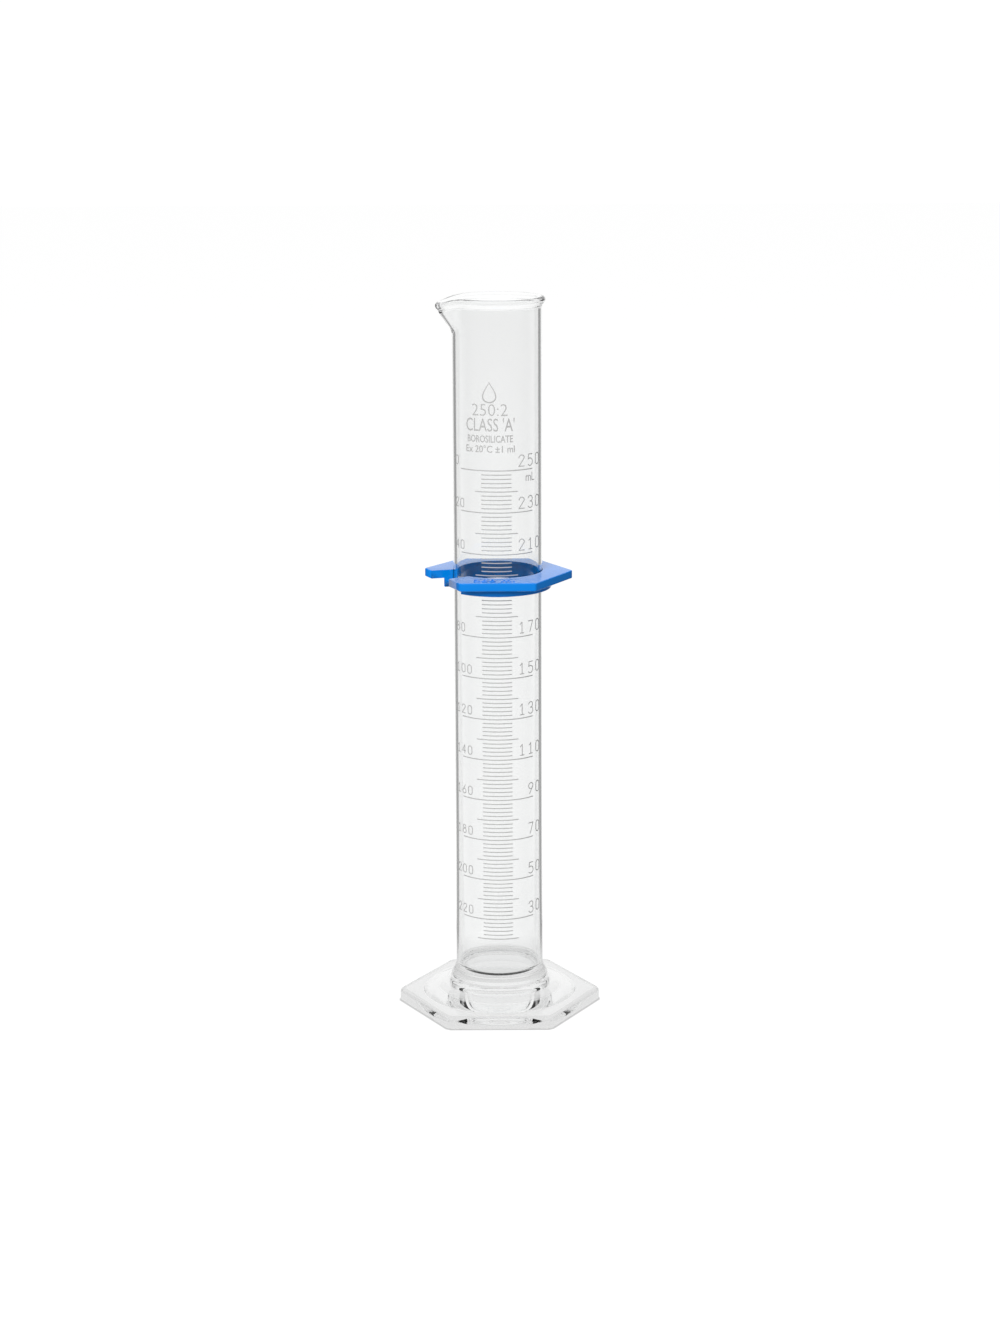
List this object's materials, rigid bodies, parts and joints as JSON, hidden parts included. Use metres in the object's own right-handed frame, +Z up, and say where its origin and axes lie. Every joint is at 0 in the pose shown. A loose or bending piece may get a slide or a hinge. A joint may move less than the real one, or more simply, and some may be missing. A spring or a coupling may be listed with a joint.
{
  "type": "graduated cylinder",
  "caption": "Glass measuring cylinder with a pouring spout, hexagonal foot, double volume scale in white enamel and a split plastic bumper guard that slides on the tube.",
  "frame": {"origin": "centre of the foot's underside, on the table", "axes": "+Z up the tube, the spout points along -X, the scale faces -Y, two corners of the hexagonal foot lie on X"},
  "size_m": [0.0924, 0.0812, 0.3269],
  "materials": {
    "clear_glass": "clear, fire polished",
    "blue_plastic": "satin moulded",
    "white_enamel": "fired enamel"
  },
  "bodies": {
    "glass_cylinder": {"measuring_tube": "clear_glass", "hexagonal_foot": "clear_glass", "major_scale_lines": "white_enamel", "middle_scale_lines": "white_enamel", "minor_scale_lines": "white_enamel", "falling_numerals": "white_enamel", "rising_numerals": "white_enamel", "unit_mark": "white_enamel"},
    "guard": {"bumper_guard": "blue_plastic"}
  },
  "joints": [
    {"name": "guard_slide", "type": "slide", "parent": "glass_cylinder", "child": "guard", "axis": [0, 0, 1], "range_m": [-0.175, 0.105]}
  ]
}
